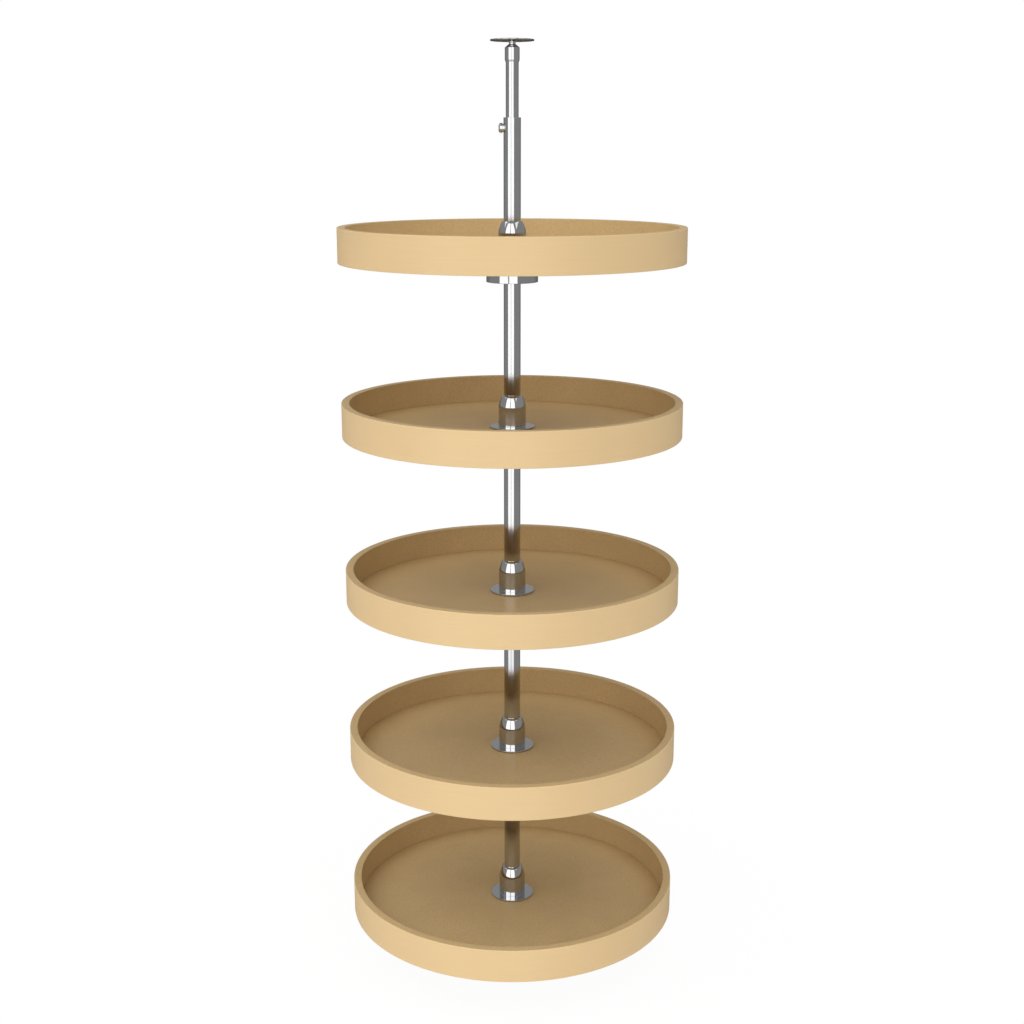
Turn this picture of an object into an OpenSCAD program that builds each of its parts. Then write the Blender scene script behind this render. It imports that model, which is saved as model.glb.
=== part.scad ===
/* [Trays] */
// Number of trays on the pole
tray_count = 5; // [2:1:5]
// Diameter of a tray over its rim
tray_d = 508; // [400:1:720]
// Height of a tray's rim
rim_h = 50.8; // [30:0.1:80]
// Thickness of a tray's rim
rim_t = 12; // [9:0.5:18]
// Radius of the rim's rubbed edges
rim_edge = 0.8; // [0.3:0.1:2]
// Thickness of a tray's floor panel
floor_t = 9.5; // [8:0.5:16]
// Thickness of the tongue that joins the floor to the rim
tongue_t = 4; // [2:0.5:6]
// Reach of that tongue into the rim
tongue_reach = 5; // [2:0.5:7]
// Distance from one tray to the next
tray_pitch = 255.3; // [160:0.1:420]
// Height of the lowest tray's underside above the cabinet floor
first_tray_z = 60; // [50:1:160]

/* [Hubs] */
// Wall of the hub's boss around the pole
boss_wall = 8; // [7.5:0.1:10]
// Height of the boss above its flange
boss_h = 29.5; // [15:0.5:60]
// Reach of the flange beyond the boss
flange_reach = 13.25; // [6:0.25:25]
// Thickness of the flange
flange_t = 3; // [2:0.5:5]
// Reach of the spigot beyond the boss, inside the tray's floor
spigot_reach = 1.5; // [1:0.1:4]
// Height of the domed cap on the boss
cap_h = 17; // [8:0.5:30]
// Reach of the cap beyond the pole, where its rounded crown starts
cap_lip = 4.4; // [2:0.1:5]
// Height of the cap's rounded crown
cap_crown = 4.8; // [2:0.1:6]
// How far the cap's side bulges beyond a straight cone
cap_bulge = 0.4; // [0.2:0.05:2]
// Depth of the cap's seat inside the boss
cap_seat = 5; // [2:0.5:10]
// Wall that the boss keeps around the cap's seat
seat_wall = 3; // [2:0.5:4]

/* [Hub screws] */
// Number of screws that clamp a tray between its hub and race plate
hub_screw_count = 4; // [3:1:6]
// Diameter of these screws
hub_screw_d = 4; // [3:0.5:5]
// Diameter of their countersunk heads
hub_screw_head_d = 7.4; // [6:0.1:8]
// Length that they reach into the hub and floor
hub_screw_reach = 12; // [6:0.5:14]
// Distance of the screws from the pole's surface
hub_screw_inset = 5; // [4:0.1:6]

/* [Bearings] */
// Thickness of the race plate under a tray
race_t = 3; // [2.5:0.1:5]
// Diameter of the bearing balls
ball_d = 6; // [4:0.5:8]
// Number of balls in a bearing
ball_count = 12; // [6:1:16]
// Space between the screw heads and the ball track
track_margin = 1.8; // [1:0.1:4]
// Thickness of the ball cage
cage_t = 2.6; // [1.5:0.1:3]
// Width of the cage's ring on each side of its balls
cage_margin = 1.2; // [0.8:0.1:2]

/* [Bearing housings] */
// Diameter of the housing under a tray
drum_d = 76; // [70:0.5:100]
// Depth of the housing below the tray's underside
drum_h = 29; // [26:0.5:50]
// Wall of the housing's skirt
drum_wall = 2.5; // [2:0.1:4]
// Thickness of the web that the balls roll on
web_t = 4; // [3:0.1:6]
// Thickness of the ribs under the web
rib_t = 3; // [2:0.1:5]
// Gap between the housing and the tray that turns above it
drum_gap = 0.9; // [0.5:0.1:2]
// Diameter of the set screws that lock a housing to the pole
set_screw_d = 6; // [4:0.5:8]
// Height of the set screws above the housing's lower edge
set_screw_z = 9; // [5:0.5:12]
// Angle of each of the two set screws from the back
set_screw_angle = 30; // [20:1:40]

/* [Pole] */
// Outer diameter of the pole tube
pole_d = 25; // [22:0.1:30]
// Wall of the pole tube
pole_wall = 1.5; // [1:0.1:2]
// Height of the pole tube's top above the top tray's underside
pole_rise = 204.1; // [120:0.1:400]
// Wall of the guide bush between the pole tube and the extension tube
guide_wall = 1.75; // [1.5:0.05:3]
// Length of the guide bush
guide_l = 40; // [25:1:60]
// Wall of the extension tube
ext_wall = 1.5; // [1:0.1:2]
// Length of the extension tube that shows above the pole tube
ext_show = 76; // [20:1:150]
// Length of the extension tube inside the pole tube
ext_inside = 270; // [120:1:300]
// Length of the glide plug below the extension tube
glide_l = 10; // [6:1:20]
// Length of the glide plug's stem inside the extension tube
glide_stem = 12; // [6:1:30]

/* [Lock] */
// Distance of the lock screw below the pole tube's top
lock_drop = 14.5; // [12:0.5:20]
// Diameter of the lock screw's thread
lock_screw_d = 6; // [4:0.5:7]
// Wall of the threaded insert around that screw
insert_wall = 1.5; // [1:0.1:2]
// Diameter of the insert's saddle outside the pole tube
saddle_d = 12; // [11:0.5:16]
// Height of the saddle off the pole tube
saddle_h = 1.5; // [0.5:0.1:3]
// Diameter of the lock screw's head
knob_d = 14.2; // [12:0.1:20]
// Height of the lock screw's head
knob_h = 5.5; // [4:0.1:12]
// Radius of the head's rounded edge
knob_edge = 3.6; // [1:0.1:3.8]
// Size of the hexagon socket in the head, across its corners
socket_d = 4.6; // [3:0.1:6]
// Depth of that socket
socket_depth = 2.6; // [1:0.1:3]
// Thickness of the pad at the lock screw's tip
pad_t = 1; // [0.6:0.1:1.4]

/* [Top end] */
// Wall of the end cap's sleeve over the extension tube
sleeve_wall = 1.35; // [1.2:0.05:3]
// Height of the end cap's sleeve
sleeve_h = 19.7; // [12:0.1:30]
// Height of the bevel at the sleeve's lower edge
sleeve_bevel_h = 3; // [1:0.5:5]
// Thickness of the end cap's roof above the tube
roof_t = 2; // [1:0.5:4]
// Height of the end cap's cone
cone_h = 4.6; // [2:0.1:8]
// Length of the end cap's plug below its sleeve
plug_drop = 8; // [4:1:20]
// Diameter of the top pivot pin
top_pin_d = 8; // [5:0.5:9]
// Gap between the cone and the flared neck that turns on it
neck_gap = 0.3; // [0.2:0.1:0.6]
// Diameter of the neck at its narrowest
neck_d = 9.4; // [9.2:0.1:12]
// Diameter of the neck where it meets the top plate
neck_flare_d = 15; // [14:0.5:20]
// Height of the flared neck
neck_h = 4.1; // [2:0.1:8]
// Diameter of the top plate
top_plate_d = 62.9; // [55:0.1:100]
// Thickness of the top plate
top_plate_t = 2; // [1.5:0.1:4]
// Circle of the top plate's screw holes
top_bolt_circle = 46; // [38:0.5:50]
// Diameter of the top plate's screw holes
top_hole_d = 4.5; // [3.5:0.1:5]
// Depth of the countersinks in the top plate
top_sink = 1; // [0.5:0.1:1.2]

/* [Base] */
// Diameter of the base plate
base_d = 110; // [96:1:160]
// Thickness of the base plate
base_t = 3; // [2:0.5:6]
// Circle of the base plate's screw holes
base_bolt_circle = 88; // [60:1:90]
// Diameter of the base plate's screw holes
base_hole_d = 5.2; // [4:0.1:6]
// Depth of the countersinks in the base plate
base_sink = 1.6; // [1:0.1:1.7]
// Diameter of the base pivot pin
pivot_d = 12; // [9:0.5:14]
// Height of the base pivot pin above the base plate
pivot_h = 27; // [20:1:30]
// Reach of the pivot's collar beyond the pin
collar_reach = 4; // [2:0.5:8]
// Height of the pivot's collar
collar_h = 3; // [2:0.5:6]
// Gap between the collar and the foot bush that turns above it
foot_gap = 0.9; // [0.5:0.1:2]
// Thickness of the foot bush's flange under the pole tube
foot_flange_t = 2; // [1:0.5:4]
// Thickness of the foot bush's roof over its ball
foot_roof_t = 5; // [3:0.5:8]

/* [Fits] */
// Radial clearance where one piece turns or slides on another
run_fit = 0.05; // [0.02:0.01:0.1]
// Radial clearance of a piece that is pushed into its seat
seat_fit = 0.03; // [0.02:0.01:0.08]
// Gap between the bearing balls and the faces they roll on
ball_gap = 0.1; // [0.05:0.01:0.3]
// Clearance of a ball in its cage's pocket
pocket_gap = 0.2; // [0.1:0.05:0.4]
// Clearance of the joints in the wood
wood_gap = 0.1; // [0.05:0.05:0.3]

/* [Hidden] */
$fn = 72;
tray_fn = 180;
over = 1;
wood = [0.89, 0.78, 0.59];
chrome = [0.80, 0.81, 0.83];
zinc = [0.66, 0.67, 0.69];
steel = [0.52, 0.53, 0.55];
acetal = [0.92, 0.91, 0.87];
brass = [0.78, 0.63, 0.33];

// Trays
tray_r = tray_d / 2;
rim_inner_r = tray_r - rim_t;
tongue_z = (floor_t - tongue_t) / 2;
tongue_r = rim_inner_r + tongue_reach;

// Hubs, each measured up from the underside of its tray
pole_r = pole_d / 2;
hub_bore_r = pole_r + run_fit;
boss_r = pole_r + boss_wall;
flange_r = boss_r + flange_reach;
spigot_r = boss_r + spigot_reach;
flange_top = floor_t + flange_t;
boss_top = flange_top + boss_h;
cap_seat_r = boss_r - seat_wall;
cap_lip_r = pole_r + cap_lip;
cap_top = boss_top + cap_h;
hub_screw_r = pole_r + hub_screw_inset;
screw_head_h = (hub_screw_head_d - hub_screw_d) / 2;
spigot_lift = 0.2;
crown_share = 0.82;
crown_bulge = 0.45;
edge = 0.6;

// Bearings and housings, measured down from the underside of their tray
ball_r = ball_d / 2;
track_r = hub_screw_r + hub_screw_head_d / 2 + track_margin + ball_r;
ball_z = -race_t - ball_gap - ball_r;
web_top = ball_z - ball_r - ball_gap;
recess_r = drum_d / 2 - drum_wall;
race_gap = 0.5;
race_r = recess_r - race_gap;
race_bore_r = pole_r + race_gap;
set_screw_l = boss_wall - seat_fit;
skirt_hole_d = set_screw_d + 1;
rib_drop = 4;
hex_ratio = 0.55;

// Pole, measured up from the cabinet floor
top_tray_z = first_tray_z + (tray_count - 1) * tray_pitch;
pole_bore_r = pole_r - pole_wall;
foot_z = base_t + collar_h + foot_gap;
pole_bottom = foot_z + foot_flange_t;
pole_top = top_tray_z + pole_rise;
ext_r = pole_bore_r - guide_wall;
ext_bore_r = ext_r - ext_wall;
ext_bottom = pole_top - ext_inside;
glide_wall = 2;
glide_bore_r = ext_bore_r - glide_wall;
lock_z = pole_top - lock_drop;

// Top end
sleeve_z = pole_top + ext_show;
sleeve_r = ext_r + sleeve_wall;
sleeve_top = sleeve_z + sleeve_h;
ext_top = sleeve_top - roof_t;
sleeve_lip = 0.3;
cone_top = sleeve_top + cone_h;
neck_z = cone_top + neck_gap;
top_plate_z = neck_z + neck_h;
top_pin_bore_r = top_pin_d / 2 + run_fit;
cone_tip = 0.8;
cone_tip_r = top_pin_bore_r + cone_tip;
rivet_step = 1;
rivet_r = top_pin_d / 2 - rivet_step;

// Base
pivot_r = pivot_d / 2;
pivot_top = base_t + pivot_h;
cup_rim = 2;
cup_r = pivot_r - cup_rim;
foot_ball_r = pivot_r - 1;
foot_ball_z = pivot_top - cup_r + (foot_ball_r + ball_gap) * sqrt(2);
foot_roof_z = foot_ball_z + foot_ball_r + ball_gap;
pivot_neck_r = pivot_r - cup_rim;
rivet_lift = 0.2;
plate_screw_count = 4;

// Lock, measured out from the pole's axis along -X
insert_r = lock_screw_d / 2 + insert_wall;
saddle_x = pole_r + saddle_h;
knob_x = saddle_x + knob_h;
insert_tip_gap = 0.2;
insert_tip_x = ext_r + insert_tip_gap;
pad_x = ext_r + run_fit;
screw_tip_x = pad_x + pad_t + run_fit;

PER_TRAY = [
    "tray_floor", "tray_rim", "tray_hub", "hub_cap", "race_plate",
    "hub_screws", "bearing_cage", "bearing_balls", "bearing_housing"
];
SINGLE = [
    "base_plate", "base_pivot", "foot_ball", "foot_bush", "pole_tube",
    "housing_set_screws", "guide_bush", "lock_insert", "lock_screw", "clamp_pad",
    "extension_tube", "glide_plug", "top_cap", "top_pivot", "top_plate"
];

function tray_z(n) = first_tray_z + (n - 1) * tray_pitch;

// Points of an arc about a centre [x, y], from angle a to angle b
function arc(centre, r, a, b, steps) =
    [for (k = [0:steps]) centre + r * [cos(a + (b - a) * k / steps), sin(a + (b - a) * k / steps)]];

// Points of an arc that rises inwards from a to b, bulging outwards from their chord
function bulged(a, b, bulge, steps) =
    let (chord = norm(b - a), r = (chord * chord / 4 + bulge * bulge) / (2 * bulge))
    let (lean = atan2(a[0] - b[0], b[1] - a[1]), half = asin(chord / 2 / r))
    let (centre = (a + b) / 2 - (r - bulge) * [cos(lean), sin(lean)])
    arc(centre, r, lean - half, lean + half, steps);

// A tube or ring between two radii
module ring(outer_r, inner_r, h) {
    difference() {
        cylinder(r = outer_r, h = h);
        translate([0, 0, -over]) cylinder(r = inner_r, h = h + 2 * over);
    }
}

// Children repeated around the pole
module around(count, r, start = 0) {
    for (k = [0:count - 1]) {
        rotate([0, 0, start + k * 360 / count]) translate([r, 0, 0]) children();
    }
}

// Children turned from the Z axis to point out along -X at the lock's height
module at_lock(x) {
    translate([-x, 0, lock_z]) rotate([0, -90, 0]) children();
}

// ---- Trays ----

module tray_floor() {
    color(wood) difference() {
        union() {
            cylinder(r = rim_inner_r - wood_gap, h = floor_t, $fn = tray_fn);
            translate([0, 0, tongue_z])
                cylinder(r = tongue_r - wood_gap, h = tongue_t, $fn = tray_fn);
        }
        translate([0, 0, -over]) cylinder(r = spigot_r + wood_gap, h = floor_t + 2 * over);
    }
}

module tray_rim() {
    e = rim_edge;
    color(wood) rotate_extrude($fn = tray_fn) polygon(concat(
        arc([tray_r - e, e], e, -90, 0, 4),
        arc([tray_r - e, rim_h - e], e, 0, 90, 4),
        arc([rim_inner_r + e, rim_h - e], e, 90, 180, 4),
        [[rim_inner_r, tongue_z + tongue_t], [tongue_r, tongue_z + tongue_t]],
        [[tongue_r, tongue_z], [rim_inner_r, tongue_z], [rim_inner_r, 0]]
    ));
}

module tray_hub() {
    seat_z = boss_top - cap_seat;
    hole_top = hub_screw_reach + over;
    color(chrome) difference() {
        rotate_extrude() polygon([
            [hub_bore_r, spigot_lift], [spigot_r, spigot_lift], [spigot_r, floor_t],
            [flange_r, floor_t], [flange_r, flange_top - edge], [flange_r - edge, flange_top],
            [boss_r, flange_top], [boss_r, boss_top], [cap_seat_r, boss_top],
            [cap_seat_r, seat_z], [hub_bore_r, seat_z]
        ]);
        around(hub_screw_count, hub_screw_r, 45)
            translate([0, 0, -over]) cylinder(d = hub_screw_d + 2 * seat_fit, h = hole_top + over);
    }
}

module hub_cap() {
    inner = cap_seat_r - seat_fit;
    seat_z = boss_top - cap_seat + spigot_lift;
    bore = hub_bore_r + seat_fit;
    lip = [cap_lip_r, cap_top - cap_crown];
    crown = bulged(lip, [cap_lip_r - crown_share * cap_lip, cap_top], crown_bulge, 6);
    color(chrome) rotate_extrude() polygon(concat(
        [[bore, seat_z], [inner, seat_z], [inner, boss_top]],
        bulged([boss_r, boss_top], lip, cap_bulge, 9),
        [for (k = [1:len(crown) - 1]) crown[k]],
        [[bore, cap_top]]
    ));
}

module hub_screws() {
    color(steel) around(hub_screw_count, hub_screw_r, 45) difference() {
        union() {
            translate([0, 0, -race_t])
                cylinder(d1 = hub_screw_head_d, d2 = hub_screw_d, h = screw_head_h);
            translate([0, 0, -race_t + over])
                cylinder(d = hub_screw_d, h = hub_screw_reach + race_t - over);
        }
        translate([0, 0, -race_t - over])
            cylinder(d = hub_screw_d * hex_ratio, h = screw_head_h + over / 2, $fn = 6);
    }
}

module race_plate() {
    hole_d = hub_screw_d + 2 * seat_fit;
    head_d = hub_screw_head_d + 2 * seat_fit;
    color(steel) translate([0, 0, -race_t]) difference() {
        ring(race_r, race_bore_r, race_t);
        around(hub_screw_count, hub_screw_r, 45) {
            translate([0, 0, -over]) cylinder(d = hole_d, h = race_t + 2 * over);
            cylinder(d1 = head_d, d2 = hole_d, h = screw_head_h);
            translate([0, 0, -over]) cylinder(d = head_d, h = over);
        }
    }
}

module bearing_cage() {
    reach = ball_r + cage_margin;
    color(acetal) translate([0, 0, ball_z - cage_t / 2]) difference() {
        ring(track_r + reach, track_r - reach, cage_t);
        around(ball_count, track_r)
            translate([0, 0, -over]) cylinder(r = ball_r + pocket_gap, h = cage_t + 2 * over);
    }
}

module bearing_balls() {
    color(steel) around(ball_count, track_r) translate([0, 0, ball_z]) sphere(r = ball_r, $fn = 48);
}

// ---- Bearing housings ----

module bearing_housing() {
    screw_z = set_screw_z - drum_h;
    skirt_h = drum_h - drum_gap;
    web_z = web_top - web_t;
    rib_h = web_z + drum_h - rib_drop;
    color(chrome) difference() {
        union() {
            translate([0, 0, -drum_h]) ring(drum_d / 2, recess_r, skirt_h);
            translate([0, 0, web_z]) ring(recess_r + drum_wall / 2, hub_bore_r, web_t);
            translate([0, 0, -drum_h]) ring(boss_r, hub_bore_r, web_z + drum_h + web_t / 2);
            for (k = [0:3]) {
                rotate([0, 0, k * 90]) translate([boss_r - over, -rib_t / 2, web_z - rib_h])
                    cube([recess_r + over + drum_wall / 2 - boss_r, rib_t, rib_h + web_t / 2]);
            }
        }
        at_set_screws(screw_z) {
            cylinder(d = set_screw_d + 2 * seat_fit, h = boss_r + over);
            translate([0, 0, boss_r + over]) cylinder(d = skirt_hole_d, h = drum_d / 2);
        }
    }
}

// Children pointing out from the pole's axis at each set screw of one housing
module at_set_screws(z) {
    for (side = [-1, 1]) {
        translate([0, 0, z]) rotate([0, 0, 90 + side * set_screw_angle]) rotate([0, 90, 0]) children();
    }
}

module housing_set_screws() {
    color(steel) for (n = [1:tray_count]) {
        translate([0, 0, tray_z(n)]) at_set_screws(set_screw_z - drum_h) difference() {
            translate([0, 0, pole_r + seat_fit]) cylinder(d = set_screw_d, h = set_screw_l);
            translate([0, 0, boss_r - set_screw_l / 2])
                cylinder(d = set_screw_d * hex_ratio, h = set_screw_l, $fn = 6);
        }
    }
}

// ---- Pole ----

module pole_tube() {
    color(chrome) difference() {
        translate([0, 0, pole_bottom]) ring(pole_r, pole_bore_r, pole_top - pole_bottom);
        at_lock(0) cylinder(r = insert_r + seat_fit, h = pole_d);
    }
}

module guide_bush() {
    color(acetal) difference() {
        translate([0, 0, pole_top - guide_l]) ring(pole_bore_r - seat_fit, ext_r + run_fit, guide_l);
        at_lock(0) cylinder(r = insert_r + seat_fit, h = pole_d);
    }
}

module extension_tube() {
    color(chrome) translate([0, 0, ext_bottom]) ring(ext_r, ext_bore_r, ext_top - ext_bottom);
}

module glide_plug() {
    color(acetal) translate([0, 0, ext_bottom]) {
        translate([0, 0, -glide_l]) ring(pole_bore_r - run_fit, glide_bore_r, glide_l);
        translate([0, 0, -over]) ring(ext_bore_r - seat_fit, glide_bore_r, glide_stem + over);
    }
}

// ---- Lock ----

module lock_insert() {
    color(zinc) difference() {
        union() {
            at_lock(insert_tip_x) cylinder(r = insert_r, h = saddle_x - insert_tip_x);
            difference() {
                at_lock(0) cylinder(d = saddle_d, h = saddle_x);
                translate([0, 0, lock_z - saddle_d]) cylinder(r = pole_r + seat_fit, h = 2 * saddle_d);
            }
        }
        at_lock(0) cylinder(d = lock_screw_d + 2 * run_fit, h = knob_x);
    }
}

module lock_screw() {
    face = knob_h - knob_edge;
    color(chrome) difference() {
        union() {
            at_lock(screw_tip_x) cylinder(d = lock_screw_d, h = saddle_x + over - screw_tip_x);
            at_lock(saddle_x + run_fit) rotate_extrude() polygon(concat(
                [[0, 0], [knob_d / 2 - edge, 0], [knob_d / 2, edge]],
                arc([knob_d / 2 - knob_edge, face], knob_edge, 0, 90, 8),
                [[0, knob_h]]
            ));
        }
        at_lock(knob_x + run_fit - socket_depth) cylinder(d = socket_d, h = socket_depth + over, $fn = 6);
    }
}

module clamp_pad() {
    color(brass) at_lock(pad_x) cylinder(d = lock_screw_d, h = pad_t);
}

// ---- Top end ----

module top_cap() {
    slot_in = ext_bore_r - seat_fit;
    slot_out = ext_r + seat_fit;
    color(chrome) rotate_extrude() polygon([
        [top_pin_bore_r, sleeve_z - plug_drop], [slot_in, sleeve_z - plug_drop],
        [slot_in, ext_top], [slot_out, ext_top], [slot_out, sleeve_z],
        [slot_out + sleeve_lip, sleeve_z], [sleeve_r, sleeve_z + sleeve_bevel_h],
        [sleeve_r, sleeve_top], [cone_tip_r, cone_top], [top_pin_bore_r, cone_top]
    ]);
}

module top_pivot() {
    pin_r = top_pin_d / 2;
    color(chrome) rotate_extrude() polygon(concat(
        [[0, sleeve_z - plug_drop], [pin_r - edge, sleeve_z - plug_drop]],
        [[pin_r, sleeve_z - plug_drop + edge], [pin_r, neck_z], [neck_d / 2, neck_z]],
        [for (k = [1:6]) [
            neck_d / 2 + (neck_flare_d - neck_d) / 2 * (1 - cos(90 * k / 6)),
            neck_z + neck_h * sin(90 * k / 6)
        ]],
        [[rivet_r, top_plate_z], [rivet_r, top_plate_z + top_plate_t - rivet_lift]],
        [[0, top_plate_z + top_plate_t - rivet_lift]]
    ));
}

// A round plate with countersunk screw holes, whose heads go in from above
module screw_plate(r, t, centre_r, circle, hole_d, sink) {
    difference() {
        ring(r, centre_r, t);
        around(plate_screw_count, circle / 2, 45) {
            translate([0, 0, -over]) cylinder(d = hole_d, h = t + 2 * over);
            translate([0, 0, t - sink]) cylinder(d1 = hole_d, d2 = hole_d + 2 * sink, h = sink);
            translate([0, 0, t]) cylinder(d = hole_d + 2 * sink, h = over);
        }
    }
}

module top_plate() {
    color(chrome) translate([0, 0, top_plate_z + top_plate_t]) mirror([0, 0, 1])
        screw_plate(top_plate_d / 2, top_plate_t, rivet_r + seat_fit, top_bolt_circle, top_hole_d, top_sink);
}

// ---- Base ----

module base_plate() {
    color(zinc)
        screw_plate(base_d / 2, base_t, pivot_neck_r + seat_fit, base_bolt_circle, base_hole_d, base_sink);
}

module base_pivot() {
    color(steel) rotate_extrude() polygon([
        [0, rivet_lift], [pivot_neck_r, rivet_lift], [pivot_neck_r, base_t],
        [pivot_r + collar_reach, base_t], [pivot_r + collar_reach, base_t + collar_h],
        [pivot_r, base_t + collar_h], [pivot_r, pivot_top - edge], [pivot_r - edge, pivot_top],
        [cup_r, pivot_top], [0, pivot_top - cup_r]
    ]);
}

module foot_ball() {
    color(steel) translate([0, 0, foot_ball_z]) sphere(r = foot_ball_r, $fn = 48);
}

module foot_bush() {
    bore = pivot_r + run_fit;
    plug = pole_bore_r - seat_fit;
    top = foot_roof_z + foot_roof_t;
    color(acetal) rotate_extrude() polygon([
        [bore, foot_z], [pole_r, foot_z], [pole_r, pole_bottom], [plug, pole_bottom],
        [plug, top], [0, top], [0, foot_roof_z], [bore, foot_roof_z]
    ]);
}

for (n = [1:tray_count]) translate([0, 0, tray_z(n)]) {
    tray_floor();
    tray_rim();
    tray_hub();
    hub_cap();
    race_plate();
    hub_screws();
    bearing_cage();
    bearing_balls();
    bearing_housing();
}
base_plate();
base_pivot();
foot_ball();
foot_bush();
pole_tube();
housing_set_screws();
guide_bush();
lock_insert();
lock_screw();
clamp_pad();
extension_tube();
glide_plug();
top_cap();
top_pivot();
top_plate();
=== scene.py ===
import math

import bpy
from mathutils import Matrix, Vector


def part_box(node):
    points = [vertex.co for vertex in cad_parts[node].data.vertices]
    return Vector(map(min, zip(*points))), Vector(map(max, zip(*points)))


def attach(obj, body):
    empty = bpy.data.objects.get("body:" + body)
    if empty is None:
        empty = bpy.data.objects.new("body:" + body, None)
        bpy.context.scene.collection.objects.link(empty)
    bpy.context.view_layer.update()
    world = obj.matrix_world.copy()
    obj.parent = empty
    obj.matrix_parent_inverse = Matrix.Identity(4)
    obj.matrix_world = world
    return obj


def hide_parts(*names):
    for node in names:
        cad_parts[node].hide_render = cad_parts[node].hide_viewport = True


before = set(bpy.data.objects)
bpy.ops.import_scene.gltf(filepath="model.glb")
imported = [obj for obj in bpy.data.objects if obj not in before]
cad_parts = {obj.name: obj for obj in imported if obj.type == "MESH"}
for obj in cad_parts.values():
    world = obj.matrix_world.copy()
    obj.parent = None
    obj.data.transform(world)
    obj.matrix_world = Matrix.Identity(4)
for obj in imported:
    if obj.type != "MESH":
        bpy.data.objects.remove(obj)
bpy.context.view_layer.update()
mm = 0.001                                  # sizes below are in millimetres, the frame is in metres
micron = 0.001 * mm
print("frame loaded")

trayNumbers = range(1, 1 + sum(1 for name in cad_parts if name.startswith("tray_floor_")))
trayLevels = {k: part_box(f"tray_floor_{k}")[0].z / mm for k in trayNumbers}
lowestTray = trayLevels[trayNumbers[0]]

view = {
    "place": (-0.0003, -2.2129, 1.2461),    # metres
    "tilt": 76.249,                         # degrees, 90 is level
    "lens": 52.63,
    "sensor": 36,
}

bpy.ops.object.camera_add(location=view["place"], rotation=(math.radians(view["tilt"]), 0, 0))
camera = bpy.context.object
camera.data.lens = view["lens"]
camera.data.sensor_width = view["sensor"]
bpy.context.scene.camera = camera
bpy.context.scene.view_settings.view_transform = "Standard"

studio = {
    "ambient": 0.08,                        # light on wood from all round
    "front": 0.58,                          # how much stronger it is from the front
    "frontTurn": -22,                       # where the front light stands, left is minus
    "above": 1.40,                          # and how much stronger from above
    "frontHigh": 0.40,                      # and from both at once
    "wall": 0.40,                           # what chrome shows of the room
    "back": 0.20,                           # and of its dark end, low behind the object
    "backTurn": (103, 150),                 # where that end begins and is darkest, in degrees
    "backRise": (5, 12),                    # and the heights between which it fades out
    "panel": 2.25,                          # the two white panels in the chrome
    "panelTwice": 3.9,                      # and how bright they are seen by way of another gloss
    "secondGloss": 2.5,                     # ray depth past which they are seen that way
    "panels": ((-57, -18.3), (-12.8, 23)),  # degrees from the camera's side
    "panelLow": -62,
    "panelHigh": 44,
    "panelMiddle": -17,
    "panelCorner": (28, 40, 14),            # its top is rounded off between these, by so much
    "panelFade": (-27, -15),                # they are dimmer below these heights
    "panelFoot": 1.16,                      # and this bright at their foot
    "panelEdge": 1.2,                       # how soft every edge in the room is
    "sideLight": 1.3,                       # lights high at the sides, wedges that point down
    "sideLights": ((-73, 26, 70), (38, 28, 95)),    # upright side, foot and reach of each
    "sideTop": 58,                          # their height
    "sideSlant": 3,                         # how much softer their slanted edge is
    "floorSize": 14,                        # metres
    "floorGlow": 0.962,                     # what the camera sees of the floor by itself
    "floorShade": 0.05,                     # and of the light and shade on it
    "floorColour": (0.82, 0.82, 0.81),
}


def nodeIn(tree, kind, **settings):
    node = tree.nodes.new(kind)
    for key, value in settings.items():
        setattr(node, key, value)
    return node


def mathIn(tree, operation, first, second=None, third=None):
    node = nodeIn(tree, "ShaderNodeMath", operation=operation)
    for socket, value in zip(node.inputs, (first, second, third)):
        if value is None:
            continue
        if isinstance(value, (int, float)):
            socket.default_value = value
        else:
            tree.links.new(value, socket)
    return node.outputs[0]


def rampIn(tree, value, low, high, toLow=0.0, toHigh=1.0, smooth=True):
    node = nodeIn(tree, "ShaderNodeMapRange", interpolation_type="SMOOTHSTEP" if smooth else "LINEAR")
    tree.links.new(value, node.inputs["Value"])
    for name, number in (("From Min", low), ("From Max", high), ("To Min", toLow), ("To Max", toHigh)):
        node.inputs[name].default_value = number
    return node.outputs["Result"]


def bandIn(tree, value, low, high, edge):
    rise = rampIn(tree, value, low - edge, low + edge)
    fall = rampIn(tree, value, high - edge, high + edge, 1.0, 0.0)
    return mathIn(tree, "MULTIPLY", rise, fall)


def lightOnWood(tree, x, y, z):
    # how bright the world is in each direction for all that is not glossy
    turn = math.radians(studio["frontTurn"])
    forward = mathIn(tree, "MULTIPLY_ADD", y, -math.cos(turn), mathIn(tree, "MULTIPLY", x, math.sin(turn)))
    level = mathIn(tree, "MULTIPLY_ADD", forward, studio["front"], studio["ambient"])
    rise = mathIn(tree, "MULTIPLY_ADD", forward, studio["frontHigh"], studio["above"])
    return mathIn(tree, "MAXIMUM", mathIn(tree, "MULTIPLY_ADD", rise, z, level), 0.0)


def uprightBands(tree, azimuth, bands, edge):
    joined = None
    for left, right in bands:
        band = bandIn(tree, azimuth, math.radians(left), math.radians(right), edge)
        joined = band if joined is None else mathIn(tree, "ADD", joined, band)
    return joined


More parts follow.
